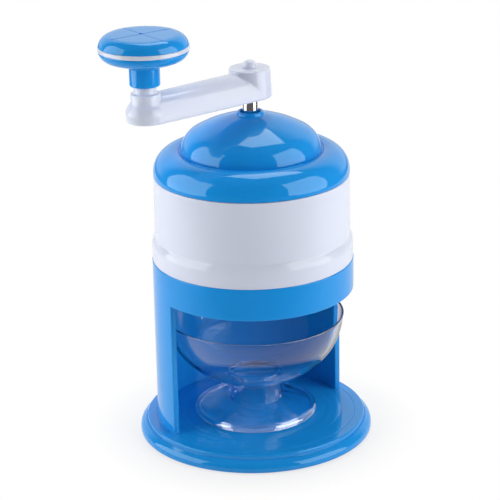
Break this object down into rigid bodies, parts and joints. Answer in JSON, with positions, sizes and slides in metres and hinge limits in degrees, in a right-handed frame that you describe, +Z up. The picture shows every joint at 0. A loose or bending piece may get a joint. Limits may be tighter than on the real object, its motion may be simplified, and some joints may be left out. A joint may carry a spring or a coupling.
{
  "type": "ice shaver with crank",
  "caption": "Hand cranked ice shaver: round stand open at the front with a clear footed cup, white hopper, domed lid and a crank arm with a turning mushroom knob.",
  "frame": {"origin": "on the shaft axis, in the plane of the surface that the base stands on", "axes": "+Z up along the shaft axis; the open front where the cup slides out faces -Y; at rest the crank arm points to -X, turned 8 degrees towards -Y"},
  "size_m": [0.1519, 0.1254, 0.229],
  "materials": {
    "blue_plastic": "gloss moulded",
    "white_plastic": "gloss moulded",
    "clear_plastic": "clear polished",
    "natural_nylon": "satin",
    "dark_rubber": "matt",
    "chromed_steel": "polished",
    "blade_steel": "ground",
    "spring_steel": "drawn wire",
    "zinc_steel": "zinc plated"
  },
  "bodies": {
    "stand": {"stand_base": "blue_plastic", "stand_shell": "blue_plastic", "base_screws": "zinc_steel", "base_feet": "dark_rubber"},
    "hopper": {"hopper_shell": "white_plastic", "blade_disc": "white_plastic", "blade": "blade_steel", "blade_screws": "zinc_steel", "disc_screws": "zinc_steel"},
    "lid": {"lid_shell": "blue_plastic", "shaft_bush": "natural_nylon", "spring": "spring_steel"},
    "spring_seat": {"thrust_washer": "zinc_steel"},
    "crank": {"crank_shaft": "chromed_steel", "press_plate": "white_plastic", "press_spikes": "blade_steel", "plate_nut": "zinc_steel", "stop_ring": "spring_steel", "crank_arm": "white_plastic", "arm_cap": "white_plastic", "knob_washer": "zinc_steel", "knob_screw": "zinc_steel"},
    "knob": {"knob_base": "blue_plastic", "knob_ring": "white_plastic", "knob_cap": "blue_plastic"},
    "cup": {"cup": "clear_plastic"}
  },
  "joints": [
    {"name": "cup_out", "type": "slide", "parent": "stand", "child": "cup", "axis": [0, -1, 0], "range_m": [0, 0.125]},
    {"name": "hopper_lift", "type": "slide", "parent": "stand", "child": "hopper", "axis": [0, 0, 1], "range_m": [0, 0.06]},
    {"name": "lid_lift", "type": "slide", "parent": "hopper", "child": "lid", "axis": [0, 0, 1], "range_m": [0, 0.075]},
    {"name": "press_travel", "type": "slide", "parent": "lid", "child": "spring_seat", "axis": [0, 0, 1], "range_m": [0, 0.04], "stiffness_N_per_m": 300, "springref_m": -0.02, "deforming": ["spring"]},
    {"name": "crank_spin", "type": "hinge", "parent": "spring_seat", "child": "crank", "pos_m": [0, 0, 0.15], "axis": [0, 0, 1], "continuous": true},
    {"name": "knob_spin", "type": "hinge", "parent": "crank", "child": "knob", "pos_m": [-0.06655, -0.00935, 0.21], "axis": [0, 0, 1], "continuous": true}
  ]
}
